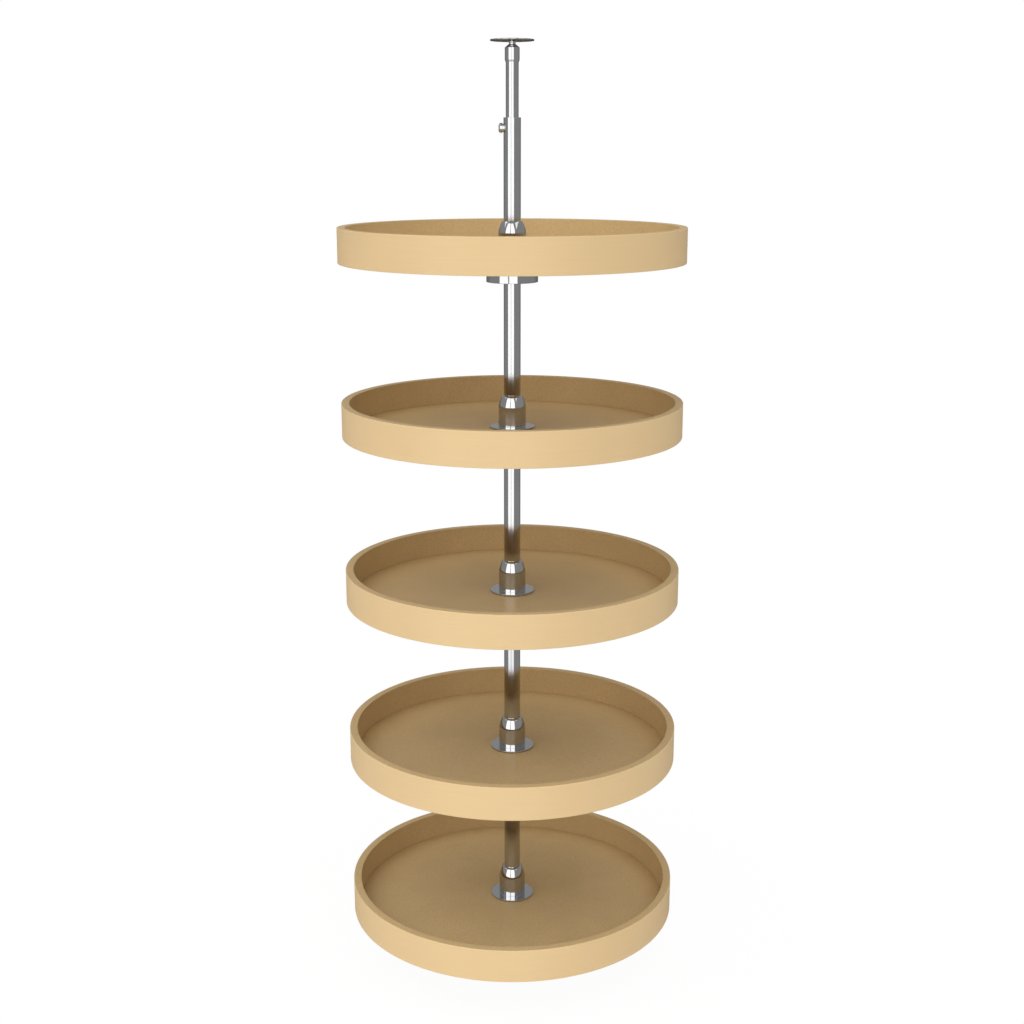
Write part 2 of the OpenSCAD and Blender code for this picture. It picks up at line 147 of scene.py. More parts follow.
def wedgeIn(tree, azimuth, height, side, foot, reach):
    # a light with its point at foot, that runs upright at side and is as wide as reach at sideTop
    share = rampIn(tree, height, math.radians(foot), math.radians(studio["sideTop"]), smooth=False)
    outwards = math.copysign(1.0, side)
    beyond = mathIn(tree, "MULTIPLY", mathIn(tree, "SUBTRACT", azimuth, math.radians(side)), outwards)
    edge = math.radians(studio["panelEdge"])
    starts = rampIn(tree, beyond, -edge, edge)
    left = mathIn(tree, "SUBTRACT", mathIn(tree, "MULTIPLY", share, math.radians(reach)), beyond)
    ends = rampIn(tree, left, -edge, studio["sideSlant"] * edge)
    top = math.radians(studio["sideTop"])
    under = rampIn(tree, height, top, top + edge, 1.0, 0.0)
    wedge = mathIn(tree, "MULTIPLY", mathIn(tree, "MULTIPLY", starts, ends), under)
    risen = rampIn(tree, height, math.radians(foot), math.radians(foot) + edge)
    return mathIn(tree, "MULTIPLY", mathIn(tree, "MULTIPLY", wedge, risen), studio["sideLight"])


def roomInChrome(tree, x, y, z, again):
    # and how bright it is for gloss, again says if it is the second gloss on the way
    azimuth = mathIn(tree, "ARCTAN2", x, mathIn(tree, "MULTIPLY", y, -1.0))
    height = mathIn(tree, "ARCSINE", z)
    edge = math.radians(studio["panelEdge"])
    inner, outer, drop = (math.radians(a) for a in studio["panelCorner"])
    aside = mathIn(tree, "ABSOLUTE", mathIn(tree, "SUBTRACT", azimuth, math.radians(studio["panelMiddle"])))
    raised = mathIn(tree, "ADD", height, rampIn(tree, aside, inner, outer, 0.0, drop))
    low, high = (math.radians(studio[key]) for key in ("panelLow", "panelHigh"))
    tall = mathIn(tree, "MULTIPLY", rampIn(tree, height, low - edge, low + edge),
                  rampIn(tree, raised, high - edge, high + edge, 1.0, 0.0))
    panels = mathIn(tree, "MULTIPLY", uprightBands(tree, azimuth, studio["panels"], edge), tall)
    backTurn, backRise = ([math.radians(a) for a in studio[key]] for key in ("backTurn", "backRise"))
    turnedBack = rampIn(tree, mathIn(tree, "ABSOLUTE", azimuth), *backTurn)
    lowDown = rampIn(tree, height, *backRise, 1.0, 0.0)
    dark = mathIn(tree, "MULTIPLY", turnedBack, lowDown)
    room = mathIn(tree, "MULTIPLY_ADD", dark, studio["back"] - studio["wall"], studio["wall"])
    fade = (math.radians(a) for a in studio["panelFade"])
    bright = rampIn(tree, height, *fade, studio["panelFoot"], studio["panel"], smooth=False)
    bright = mathIn(tree, "MULTIPLY_ADD", again, studio["panelTwice"] - studio["panel"], bright)
    for side, foot, reach in studio["sideLights"]:
        room = mathIn(tree, "ADD", room, wedgeIn(tree, azimuth, height, side, foot, reach))
    return mathIn(tree, "MULTIPLY_ADD", panels, mathIn(tree, "SUBTRACT", bright, studio["wall"]), room)


def makeStudio():
    # gloss sees the room, the camera sees white, and everything else is lit softly
    world = bpy.data.worlds.new("studio")
    bpy.context.scene.world = world
    world.use_nodes = True
    tree = world.node_tree
    tree.nodes.clear()
    place = nodeIn(tree, "ShaderNodeTexCoord")
    parts = nodeIn(tree, "ShaderNodeSeparateXYZ")
    tree.links.new(place.outputs["Generated"], parts.inputs[0])
    shown, plain, behind = (nodeIn(tree, "ShaderNodeBackground") for k in range(3))
    for light in (shown, plain, behind):
        light.inputs["Color"].default_value = (1, 1, 1, 1)
    path = nodeIn(tree, "ShaderNodeLightPath")
    again = mathIn(tree, "GREATER_THAN", path.outputs["Ray Depth"], studio["secondGloss"])
    tree.links.new(roomInChrome(tree, *parts.outputs, again), shown.inputs["Strength"])
    tree.links.new(lightOnWood(tree, *parts.outputs), plain.inputs["Strength"])
    behind.inputs["Strength"].default_value = 1.0
    first = nodeIn(tree, "ShaderNodeMixShader")
    tree.links.new(path.outputs["Is Glossy Ray"], first.inputs[0])
    tree.links.new(plain.outputs[0], first.inputs[1])
    tree.links.new(shown.outputs[0], first.inputs[2])
    second = nodeIn(tree, "ShaderNodeMixShader")
    seen = mathIn(tree, "MAXIMUM", path.outputs["Is Camera Ray"], path.outputs["Is Transmission Ray"])
    tree.links.new(seen, second.inputs[0])
    tree.links.new(first.outputs[0], second.inputs[1])
    tree.links.new(behind.outputs[0], second.inputs[2])
    out = nodeIn(tree, "ShaderNodeOutputWorld")
    tree.links.new(second.outputs[0], out.inputs[0])


def makeFloor():
    # white paper that lights the object, of which the camera sees a glow and a little of its shade
    deselectAll()
    bpy.ops.mesh.primitive_plane_add(size=studio["floorSize"], location=(0, 0, 0))
    ground = bpy.context.object
    ground.name = "studioFloor"
    ground.visible_glossy = False
    paper = bpy.data.materials.new("studioPaper")
    paper.use_nodes = True
    tree = paper.node_tree
    tree.nodes.clear()
    matt = nodeIn(tree, "ShaderNodeBsdfDiffuse")
    matt.inputs["Color"].default_value = (*studio["floorColour"], 1)
    glow = nodeIn(tree, "ShaderNodeEmission")
    path = nodeIn(tree, "ShaderNodeLightPath")
    seen = mathIn(tree, "MAXIMUM", path.outputs["Is Camera Ray"], path.outputs["Is Transmission Ray"])
    tree.links.new(mathIn(tree, "MULTIPLY", seen, studio["floorGlow"]), glow.inputs["Strength"])
    faint = nodeIn(tree, "ShaderNodeMixShader")
    tree.links.new(mathIn(tree, "MULTIPLY", seen, 1.0 - studio["floorShade"]), faint.inputs[0])
    empty = nodeIn(tree, "ShaderNodeBsdfDiffuse")
    empty.inputs["Color"].default_value = (0, 0, 0, 1)
    tree.links.new(matt.outputs[0], faint.inputs[1])
    tree.links.new(empty.outputs[0], faint.inputs[2])
    both = nodeIn(tree, "ShaderNodeAddShader")
    tree.links.new(faint.outputs[0], both.inputs[0])
    tree.links.new(glow.outputs[0], both.inputs[1])
    out = nodeIn(tree, "ShaderNodeOutputMaterial")
    tree.links.new(both.outputs[0], out.inputs["Surface"])
    ground.data.materials.append(paper)


makeStudio()
print("camera and light set")


def startMaterial(name):
    material = bpy.data.materials.new(name)
    material.use_nodes = True
    tree = material.node_tree
    shader = tree.nodes["Principled BSDF"]
    place = nodeIn(tree, "ShaderNodeTexCoord")
    return material, tree, shader, place.outputs["Object"]


def noiseIn(tree, vector, scale, detail, rough):
    node = nodeIn(tree, "ShaderNodeTexNoise")
    tree.links.new(vector, node.inputs["Vector"])
    node.inputs["Scale"].default_value = scale
    node.inputs["Detail"].default_value = detail
    node.inputs["Roughness"].default_value = rough
    return node.outputs[0]


def shadesIn(tree, value, shades):
    ramp = nodeIn(tree, "ShaderNodeValToRGB")
    points = ramp.color_ramp.elements
    while len(points) < len(shades):
        points.new(0.5)                     # moved to its place below
    for point, (where, colour) in zip(points, shades):
        point.position = where
        point.color = (*colour, 1)
    tree.links.new(value, ramp.inputs[0])
    return ramp.outputs[0]


def mixIn(tree, factor, first, second):
    # a colour mix has its factor in socket 0, its colours in 6 and 7, and gives their mix in 2
    node = nodeIn(tree, "ShaderNodeMix", data_type="RGBA")
    for socket, value in ((node.inputs[0], factor), (node.inputs[6], first), (node.inputs[7], second)):
        if isinstance(value, (int, float)):
            socket.default_value = value
        elif isinstance(value, tuple):
            socket.default_value = (*value, 1)
        else:
            tree.links.new(value, socket)
    return node.outputs[2]


def roughIn(tree, shader, noise, low, high):
    spread = rampIn(tree, noise, *noiseReach, low, high)
    tree.links.new(spread, shader.inputs["Roughness"])


def bumpIn(tree, shader, height, relief):
    node = nodeIn(tree, "ShaderNodeBump")
    node.inputs["Strength"].default_value = 1.0
    node.inputs["Distance"].default_value = relief * micron
    tree.links.new(height, node.inputs["Height"])
    tree.links.new(node.outputs[0], shader.inputs["Normal"])


def roundTheAxis(tree, place, along, up):
    # length along the rim, with its ends meeting at the back, and the height
    parts = nodeIn(tree, "ShaderNodeSeparateXYZ")
    tree.links.new(place, parts.inputs[0])
    x, y, z = parts.outputs
    turn = mathIn(tree, "ARCTAN2", x, mathIn(tree, "MULTIPLY", y, -1.0))
    joined = nodeIn(tree, "ShaderNodeCombineXYZ")
    tree.links.new(mathIn(tree, "MULTIPLY", turn, along), joined.inputs[0])
    tree.links.new(mathIn(tree, "MULTIPLY", z, up), joined.inputs[1])
    return joined.outputs[0], turn


# a noise is its scale, detail and roughness; reliefs are in thousandths of a millimetre
noiseReach = (0.3, 0.7)                     # where a noise counts as none and as full

bandWood = {
    "light": (0.835, 0.600, 0.315),
    "dark": (0.805, 0.572, 0.292),
    "darkAt": 0.30,
    "lightAt": 0.62,
    "grain": (1.0, 4.0, 0.62),
    "grainLength": 2.2,                     # how closely the grain repeats along the rim
    "grainHeight": 420,                     # and up it
    "cloud": (9.0, 2.0, 0.5),
    "cloudShare": 0.35,
    "roughness": (0.37, 0.47),
    "relief": 40,
    "seam": 0.0009,                         # half the seam's width, in radians round the rim
    "seamSoft": 0.5,
    "seamColour": (0.23, 0.13, 0.06),
    "seamShare": 0.62,
    "seamDepth": 1.2,
}

boardWood = {
    "light": (0.722, 0.527, 0.275),
    "middle": (0.640, 0.466, 0.241),
    "dark": (0.551, 0.400, 0.206),
    "lightAt": 0.64,
    "middleAt": 0.50,
    "darkAt": 0.36,
    "speckle": (900, 2.0, 0.7),
    "speckleShare": 0.55,
    "fleck": (300, 3.0, 0.6),
    "fleckShare": 0.30,
    "cloud": (14.0, 2.0, 0.5),
    "cloudShare": 0.15,
    "roughness": (0.38, 0.43),
    "relief": 1.5,
    "gloss": 0.15,
}

# a darker copy of the board wood, painted shade for the faces that look up: the tray floors and the rims'
# tops
shadedBoardWood = boardWood | {
    "light": (0.640, 0.464, 0.238),
    "middle": (0.566, 0.410, 0.208),
    "dark": (0.486, 0.351, 0.177),
}


def makeBandWood(name, values):
    material, tree, shader, place = startMaterial(name)
    rolled, turn = roundTheAxis(tree, place, values["grainLength"], values["grainHeight"])
    grain = noiseIn(tree, rolled, *values["grain"])
    cloud = noiseIn(tree, place, *values["cloud"])
    share = values["cloudShare"]
    mixed = mathIn(tree, "MULTIPLY_ADD", cloud, share, mathIn(tree, "MULTIPLY", grain, 1 - share))
    shades = ((values["darkAt"], values["dark"]), (values["lightAt"], values["light"]))
    away = mathIn(tree, "SUBTRACT", math.pi, mathIn(tree, "ABSOLUTE", turn))
    narrow, wide = (values["seam"] * (1 + side * values["seamSoft"]) for side in (-1, 1))
    seam = rampIn(tree, away, narrow, wide, values["seamShare"], 0.0)
    colour = mixIn(tree, seam, shadesIn(tree, mixed, shades), values["seamColour"])
    tree.links.new(colour, shader.inputs["Base Color"])
    roughIn(tree, shader, grain, *values["roughness"])
    groove = mathIn(tree, "MULTIPLY_ADD", seam, -values["seamDepth"], grain)
    bumpIn(tree, shader, groove, values["relief"])
    return material


def makeBoardWood(name, values):
    material, tree, shader, place = startMaterial(name)
    shader.inputs["Specular IOR Level"].default_value = values["gloss"]
    speckle, fleck, cloud = (noiseIn(tree, place, *values[key]) for key in ("speckle", "fleck", "cloud"))
    mixed = mathIn(tree, "MULTIPLY", speckle, values["speckleShare"])
    mixed = mathIn(tree, "MULTIPLY_ADD", fleck, values["fleckShare"], mixed)
    mixed = mathIn(tree, "MULTIPLY_ADD", cloud, values["cloudShare"], mixed)
    shades = tuple((values[shade + "At"], values[shade]) for shade in ("dark", "middle", "light"))
    tree.links.new(shadesIn(tree, mixed, shades), shader.inputs["Base Color"])
    roughIn(tree, shader, fleck, *values["roughness"])
    bumpIn(tree, shader, fleck, values["relief"])
    return material


# lines stretches the noise that varies a metal's roughness and relief, along x, y and z
metals = {
    "tubeChrome": {
        "colour": (0.480, 0.483, 0.488), "roughness": (0.095, 0.125), "lines": (900, 900, 6), "relief": 0.6,
    },
    "hubChrome": {
        "colour": (0.480, 0.483, 0.488), "roughness": (0.07, 0.11), "lines": (60, 60, 60), "relief": 1.0,
    },
    "pressedChrome": {
        "colour": (0.465, 0.468, 0.473), "roughness": (0.07, 0.13), "lines": (45, 45, 45), "relief": 2.0,
    },
    "plateChrome": {
        "colour": (0.465, 0.468, 0.473), "roughness": (0.08, 0.14), "lines": (80, 80, 80), "relief": 1.5,
        "grazing": 0.15,                    # how much it keeps of its gloss edge-on
    },
    "baseZinc": {
        "colour": (0.520, 0.535, 0.555), "roughness": (0.22, 0.38), "lines": (160, 160, 160), "relief": 6.0,
    },
    "insertZinc": {
        "colour": (0.560, 0.565, 0.580), "roughness": (0.15, 0.25), "lines": (300, 300, 300), "relief": 3.0,
    },
    "bearingSteel": {
        "colour": (0.560, 0.560, 0.565), "roughness": (0.12, 0.20), "lines": (200, 200, 200), "relief": 2.0,
    },
    "screwSteel": {
        "colour": (0.180, 0.182, 0.190), "roughness": (0.28, 0.40), "lines": (600, 600, 600), "relief": 4.0,
    },
    "padBrass": {
        "colour": (0.720, 0.520, 0.230), "roughness": (0.21, 0.31), "lines": (400, 400, 400), "relief": 3.0,
    },
}

metalNoise = {
    "streak": (1.0, 3.0, 0.6),
    "cloud": (55.0, 2.0, 0.5),
    "dimmed": 0.965,                        # the darkest of a metal's colour, as a share of it
    "darkAt": 0.3,
    "lightAt": 0.6,
}

plastics = {
    "cageAcetal": {"light": (0.82, 0.81, 0.77), "dark": (0.77, 0.76, 0.72), "roughness": (0.37, 0.47)},
    "bushAcetal": {"light": (0.80, 0.79, 0.75), "dark": (0.74, 0.73, 0.69), "roughness": (0.40, 0.50)},
}

plasticNoise = {
    "cloud": (120.0, 3.0, 0.5),
    "darkAt": 0.35,
    "lightAt": 0.65,
    "grain": (1500.0, 2.0, 0.5),
    "relief": 10,
}


def makeMetal(name, values):
    material, tree, shader, place = startMaterial(name)
    shader.inputs["Metallic"].default_value = 1.0
    shader.inputs["Specular Tint"].default_value = (*3 * [values.get("grazing", 1.0)], 1.0)
    stretch = nodeIn(tree, "ShaderNodeMapping")
    stretch.inputs["Scale"].default_value = values["lines"]
    tree.links.new(place, stretch.inputs["Vector"])
    streak = noiseIn(tree, stretch.outputs[0], *metalNoise["streak"])
    cloud = noiseIn(tree, place, *metalNoise["cloud"])
    darker = tuple(metalNoise["dimmed"] * part for part in values["colour"])
    shades = ((metalNoise["darkAt"], darker), (metalNoise["lightAt"], values["colour"]))
    tree.links.new(shadesIn(tree, cloud, shades), shader.inputs["Base Color"])
    roughIn(tree, shader, streak, *values["roughness"])
    bumpIn(tree, shader, streak, values["relief"])
    return material


def makePlastic(name, values):
    material, tree, shader, place = startMaterial(name)
    cloud = noiseIn(tree, place, *plasticNoise["cloud"])
    shades = ((plasticNoise["darkAt"], values["dark"]), (plasticNoise["lightAt"], values["light"]))
    tree.links.new(shadesIn(tree, cloud, shades), shader.inputs["Base Color"])
    roughIn(tree, shader, cloud, *values["roughness"])
    bumpIn(tree, shader, noiseIn(tree, place, *plasticNoise["grain"]), plasticNoise["relief"])
    return material


finishes = {
    "bandWood": makeBandWood("bandWood", bandWood),
    "boardWood": makeBoardWood("boardWood", boardWood),
    "shadedBoardWood": makeBoardWood("shadedBoardWood", shadedBoardWood),
}
for name, values in metals.items():
    finishes[name] = makeMetal(name, values)
for name, values in plastics.items():
    finishes[name] = makePlastic(name, values)
print("materials made")


mergeWithin = 0.002                         # points of a turned piece this close become one
ringWithin = 0.02                           # how near a ring a point counts as on it
smoothAngle = 32                            # edges that turn more than this stay sharp
faceWeight = 100                            # flat faces keep their own shading


def deselectAll():
    if bpy.context.object is not None and bpy.context.object.mode != "OBJECT":
        bpy.ops.object.mode_set(mode="OBJECT")
    bpy.ops.object.select_all(action="DESELECT")


def pickOnly(piece):
    deselectAll()
    piece.select_set(True)
    bpy.context.view_layer.objects.active = piece


def turnPiece(name, rings, sides, closed=True, level=0.0):
    # rings are (radius, height) in millimetres; a piece that is not closed is filled at both ends
    deselectAll()
    radius, height = rings[0]
    bpy.ops.mesh.primitive_circle_add(
        vertices=sides, radius=radius * mm, fill_type="NOTHING" if closed else "NGON",
        location=(0, 0, (height + level) * mm))
    piece = bpy.context.object
    piece.name = name
    bpy.ops.object.transform_apply(location=True, rotation=False, scale=False)
    bpy.ops.object.mode_set(mode="EDIT")
    bpy.ops.mesh.select_all(action="SELECT")
    for nextRadius, nextHeight in rings[1:] + rings[:1] * closed:
        rise = (nextHeight - height) * mm
        bpy.ops.mesh.extrude_region_move(TRANSFORM_OT_translate={"value": (0, 0, rise)})
        if nextRadius != radius:
            grow = nextRadius / radius
            bpy.ops.transform.resize(value=(grow, grow, 1), center_override=(0, 0, (nextHeight + level) * mm))
        radius, height = nextRadius, nextHeight
    bpy.ops.mesh.select_all(action="SELECT")
    bpy.ops.mesh.remove_doubles(threshold=mergeWithin * mm)
    bpy.ops.mesh.normals_make_consistent(inside=False)
    bpy.ops.object.mode_set(mode="OBJECT")
    return piece


def softenRings(piece, rings, width, level=0.0, steps=3):
    # rounds the edges that lie on the rings
    pickOnly(piece)
    bpy.ops.object.mode_set(mode="EDIT")
    bpy.ops.mesh.select_mode(type="EDGE")
    bpy.ops.mesh.select_all(action="DESELECT")
    bpy.ops.object.mode_set(mode="OBJECT")
    mesh = piece.data

    def onRing(point, ring):
        outwards = abs(math.hypot(point.x, point.y) - ring[0] * mm)
        upwards = abs(point.z - (ring[1] + level) * mm)
        return max(outwards, upwards) < ringWithin * mm

    for edge in mesh.edges:
        ends = [mesh.vertices[v].co for v in edge.vertices]
        edge.select = any(all(onRing(end, ring) for end in ends) for ring in rings)
    bpy.ops.object.mode_set(mode="EDIT")
    bpy.ops.mesh.bevel(offset=width * mm, offset_type="OFFSET", segments=steps, affect="EDGES")
    bpy.ops.mesh.select_mode(type="VERT")
    bpy.ops.object.mode_set(mode="OBJECT")


def addModifier(piece, kind, **settings):
    pickOnly(piece)
    bpy.ops.object.modifier_add(type=kind)
    modifier = piece.modifiers[-1]
    for key, value in settings.items():
        setattr(modifier, key, value)
    bpy.ops.object.modifier_apply(modifier=modifier.name)


def cutAway(piece, cutters):
    for cutter in cutters:
        addModifier(piece, "BOOLEAN", operation="DIFFERENCE", solver="EXACT", object=cutter)
        pickOnly(cutter)
        bpy.ops.object.delete()


def copyPiece(piece, name, lift):
    pickOnly(piece)
    bpy.ops.object.duplicate(linked=False)
    copied = bpy.context.object
    copied.name = name
    bpy.ops.transform.translate(value=(0, 0, lift * mm))
    bpy.ops.object.transform_apply(location=True, rotation=False, scale=False)
    return copied


def swingTo(piece, degrees):
    # turns a piece about the pole's axis, and keeps the turn in its mesh
    pickOnly(piece)
    bpy.ops.object.mode_set(mode="EDIT")
    bpy.ops.mesh.select_all(action="SELECT")
    bpy.ops.transform.rotate(value=-math.radians(degrees), orient_axis="Z", center_override=(0, 0, 0))
    bpy.ops.object.mode_set(mode="OBJECT")


def smoothPiece(piece, angle=smoothAngle):
    pickOnly(piece)
    bpy.ops.object.shade_smooth_by_angle(angle=math.radians(angle))
    addModifier(piece, "WEIGHTED_NORMAL", keep_sharp=True, weight=faceWeight)


def dress(piece, finish, body, slot, *nodes):
    if not piece.data.materials:
        piece.data.materials.append(finishes[finish])
    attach(piece, body)
    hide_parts(*nodes)


def repeatOnTrays(piece, stem, node, body, finish, slot):
    # the piece is made on the lowest tray
    for k in trayNumbers:
        lift = trayLevels[k] - lowestTray
        one = piece if k == trayNumbers[0] else copyPiece(piece, f"{stem}{k}", lift)
        one.name = f"{stem}{k}"
        dress(one, finish, body.format(k), slot, f"{node}_{k}")


plateScrews = {"count": 4, "firstAngle": 45, "sides": 48, "beyond": 1}


def screwHoleCutter(holeRadius, thick, sink, level, fromAbove):
    # one countersunk hole on the upright axis, wide end above or below
    wide = holeRadius + sink
    low, high = -plateScrews["beyond"], thick + plateScrews["beyond"]
    rings = [(holeRadius, low), (holeRadius, thick - sink), (wide, thick), (wide, high)]
    if not fromAbove:
        rings = [(wide, low), (wide, 0), (holeRadius, sink), (holeRadius, high)]
    return turnPiece("holeCutter", rings, plateScrews["sides"], closed=False, level=level)


def screwHoles(piece, values, level, fromAbove):
    cutters = []
    for k in range(plateScrews["count"]):
        cutter = screwHoleCutter(values["hole"], values["thick"], values["sink"], level, fromAbove)
        pickOnly(cutter)
        bpy.ops.transform.translate(value=(values["circle"] / 2 * mm, 0, 0))
        bpy.ops.object.transform_apply(location=True, rotation=False, scale=False)
        swingTo(cutter, plateScrews["firstAngle"] + 360 / plateScrews["count"] * k)
        cutters.append(cutter)
    cutAway(piece, cutters)


makeFloor()
print("studio floor laid")


rim = {
    "wall": 12,
    "edge": 0.8,
    "edgeSteps": 4,
    "paintFrom": 0.6,                       # share of the edge's rounding where the skin ends
    "tongueReach": 5,                       # the groove that holds the floor's tongue
    "tongueLow": 2.75,
    "tongueHigh": 6.75,
    "sides": 256,
}


def paintFaces(piece, finish, chosen):
    # gives a finish that the piece has to the faces whose middle is chosen
    pickOnly(piece)
    bpy.ops.object.mode_set(mode="EDIT")
    bpy.ops.mesh.select_mode(type="FACE")
    bpy.ops.mesh.select_all(action="DESELECT")
    bpy.ops.object.mode_set(mode="OBJECT")
    for face in piece.data.polygons:
        face.select = chosen(face.center)
    bpy.ops.object.mode_set(mode="EDIT")
    piece.active_material_index = piece.data.materials.find(finish)
    bpy.ops.object.material_slot_assign()
    bpy.ops.mesh.select_mode(type="VERT")
    bpy.ops.object.mode_set(mode="OBJECT")


def makeRims():
    low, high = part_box("tray_rim_1")
    outer = high.x / mm
    inner = outer - rim["wall"]
    tall = (high.z - low.z) / mm
    level = low.z / mm
    reach = inner + rim["tongueReach"]
    rings = [
        (outer, 0), (outer, tall), (inner, tall), (inner, rim["tongueHigh"]),
        (reach, rim["tongueHigh"]), (reach, rim["tongueLow"]), (inner, rim["tongueLow"]), (inner, 0),
    ]
    piece = turnPiece("trayRim1", rings, rim["sides"], level=level)
    softenRings(piece, rings[:3], rim["edge"], level, rim["edgeSteps"])
    for finish in ("bandWood", "boardWood", "shadedBoardWood"):
        piece.data.materials.append(finishes[finish])
    paintDepth = rim["edge"] * rim["paintFrom"]
    skin = (outer - paintDepth) * mm
    top = (level + tall - paintDepth) * mm
    paintFaces(piece, "boardWood", lambda place: math.hypot(place.x, place.y) < skin)
    # the rims' tops take the darker copy of the board wood, painted shade for faces that look up
    paintFaces(piece, "shadedBoardWood", lambda place: math.hypot(place.x, place.y) < skin and place.z > top)
    smoothPiece(piece)
    repeatOnTrays(piece, "trayRim", "tray_rim", "tray_{}", "bandWood", "wood_rim")


makeRims()
print("tray rims shaped")


# heights on the hub, cap and housing are from the underside of the tray's floor
hub = {
    "bore": 12.55, "spigot": 22, "foot": 0.2, "floor": 9.5,
    "flange": 33.75, "flangeTop": 12.5, "flangeEdge": 0.4, "flangeSteps": 5,
    "footEdge": 1.2, "footSteps": 4,
    "boss": 20.5, "bossTop": 42, "bossEdge": 0.2,
    "seat": 17.5, "seatDepth": 5, "sides": 128,
}

cap = {
    "bore": 12.58, "seat": 17.47, "seatLow": 37.2, "base": 42, "wide": 20.5,
    "shoulder": (20.06, 44.4), "shoulderBulge": 0.044, "shoulderSteps": 3,
    "lip": (16.4, 55.3), "bulge": 0.24,
    "crown": (13.5, 59), "crownBulge": 0.38, "steps": 10,
    "sharpFrom": 26, "sides": 128,
}


def makeHubs():
    v = hub
    seatFloor = v["bossTop"] - v["seatDepth"]
    rings = [
        (v["bore"], v["foot"]), (v["spigot"], v["foot"]), (v["spigot"], v["floor"]),
        (v["flange"], v["floor"]), (v["flange"], v["flangeTop"]), (v["boss"], v["flangeTop"]),
        (v["boss"], v["bossTop"]), (v["seat"], v["bossTop"]), (v["seat"], seatFloor), (v["bore"], seatFloor),
    ]
    piece = turnPiece("trayHub1", rings, v["sides"], level=lowestTray)
    softenRings(piece, [(v["flange"], v["flangeTop"])], v["flangeEdge"], lowestTray, v["flangeSteps"])
    softenRings(piece, [(v["flange"], v["floor"])], v["footEdge"], lowestTray, v["footSteps"])
    softenRings(piece, [(v["boss"], v["flangeTop"])], v["bossEdge"], lowestTray)
    smoothPiece(piece)
    repeatOnTrays(piece, "trayHub", "tray_hub", "tray_{}", "hubChrome", "chrome_hub")


def bulged(start, end, bulge, steps):
    # points of an arc that rises inwards from start to end, bulging out from their chord
    run, rise = start[0] - end[0], end[1] - start[1]
    chord = math.hypot(run, rise)
    radius = (chord * chord / 4 + bulge ** 2) / (2 * bulge)
    half, lean = math.asin(chord / 2 / radius), math.atan2(run, rise)
    centre = ((start[0] + end[0]) / 2 - (radius - bulge) * math.cos(lean),
              (start[1] + end[1]) / 2 - (radius - bulge) * math.sin(lean))
    angles = [lean - half + 2 * half * k / steps for k in range(steps + 1)]
    return [(centre[0] + radius * math.cos(a), centre[1] + radius * math.sin(a)) for a in angles]


def makeCaps():
    v = cap
    rings = [(v["bore"], v["seatLow"]), (v["seat"], v["seatLow"]), (v["seat"], v["base"])]
    rings += bulged((v["wide"], v["base"]), v["shoulder"], v["shoulderBulge"], v["shoulderSteps"])
    rings += bulged(v["shoulder"], v["lip"], v["bulge"], v["steps"])[1:]
    rings += bulged(v["lip"], v["crown"], v["crownBulge"], v["steps"])[1:]
    rings += [(v["bore"], v["crown"][1])]
    piece = turnPiece("hubCap1", rings, v["sides"], level=lowestTray)
    smoothPiece(piece, v["sharpFrom"])
    repeatOnTrays(piece, "hubCap", "hub_cap", "tray_{}", "hubChrome", "chrome_cap")


makeHubs()
makeCaps()
print("hubs and caps shaped")


housing = {
    "skirt": 38, "wall": 2.5, "low": -29, "high": -0.9, "edge": 0.6,
    "webTop": -9.2, "web": 4, "boss": 20.5, "bore": 12.55,
    "hole": 3.5, "holeLevel": -20, "holeAngles": (60, 120), "holeLong": 16, "holeSides": 40,
    "ribs": 4, "rib": 3, "ribLow": -25, "ribSink": 1, "ribEdge": 0.4, "ribSteps": 2,
    "sides": 128,
}


def skirtHoleCutter(angle):
    deselectAll()
    bpy.ops.mesh.primitive_cylinder_add(
        vertices=housing["holeSides"], radius=housing["hole"] * mm, depth=housing["holeLong"] * mm,
        rotation=(0, math.pi / 2, 0),
        location=(housing["skirt"] * mm, 0, (housing["holeLevel"] + lowestTray) * mm))
    cutter = bpy.context.object
    bpy.ops.object.transform_apply(location=True, rotation=True, scale=False)
    swingTo(cutter, angle)
    return cutter


def joinRibs(piece, inside, under):
    # ribs between the boss and the skirt, sunk a little into both and into the web
    v = housing
    top = under + v["ribSink"]
    for k in range(v["ribs"]):
        deselectAll()
        middle = ((v["boss"] + inside) / 2 * mm, 0, ((v["ribLow"] + top) / 2 + lowestTray) * mm)
        bpy.ops.mesh.primitive_cube_add(size=1, location=middle)
        plate = bpy.context.object
        reach = inside - v["boss"] + v["ribSink"]
        bpy.ops.transform.resize(value=(reach * mm, v["rib"] * mm, (top - v["ribLow"]) * mm))
        bpy.ops.object.transform_apply(location=True, rotation=False, scale=True)
        addModifier(plate, "BEVEL", width=v["ribEdge"] * mm, segments=v["ribSteps"], limit_method="ANGLE")
        swingTo(plate, 360 / v["ribs"] * k)
        smoothPiece(plate)
        plate.select_set(True)
        piece.select_set(True)
        bpy.context.view_layer.objects.active = piece
        bpy.ops.object.join()


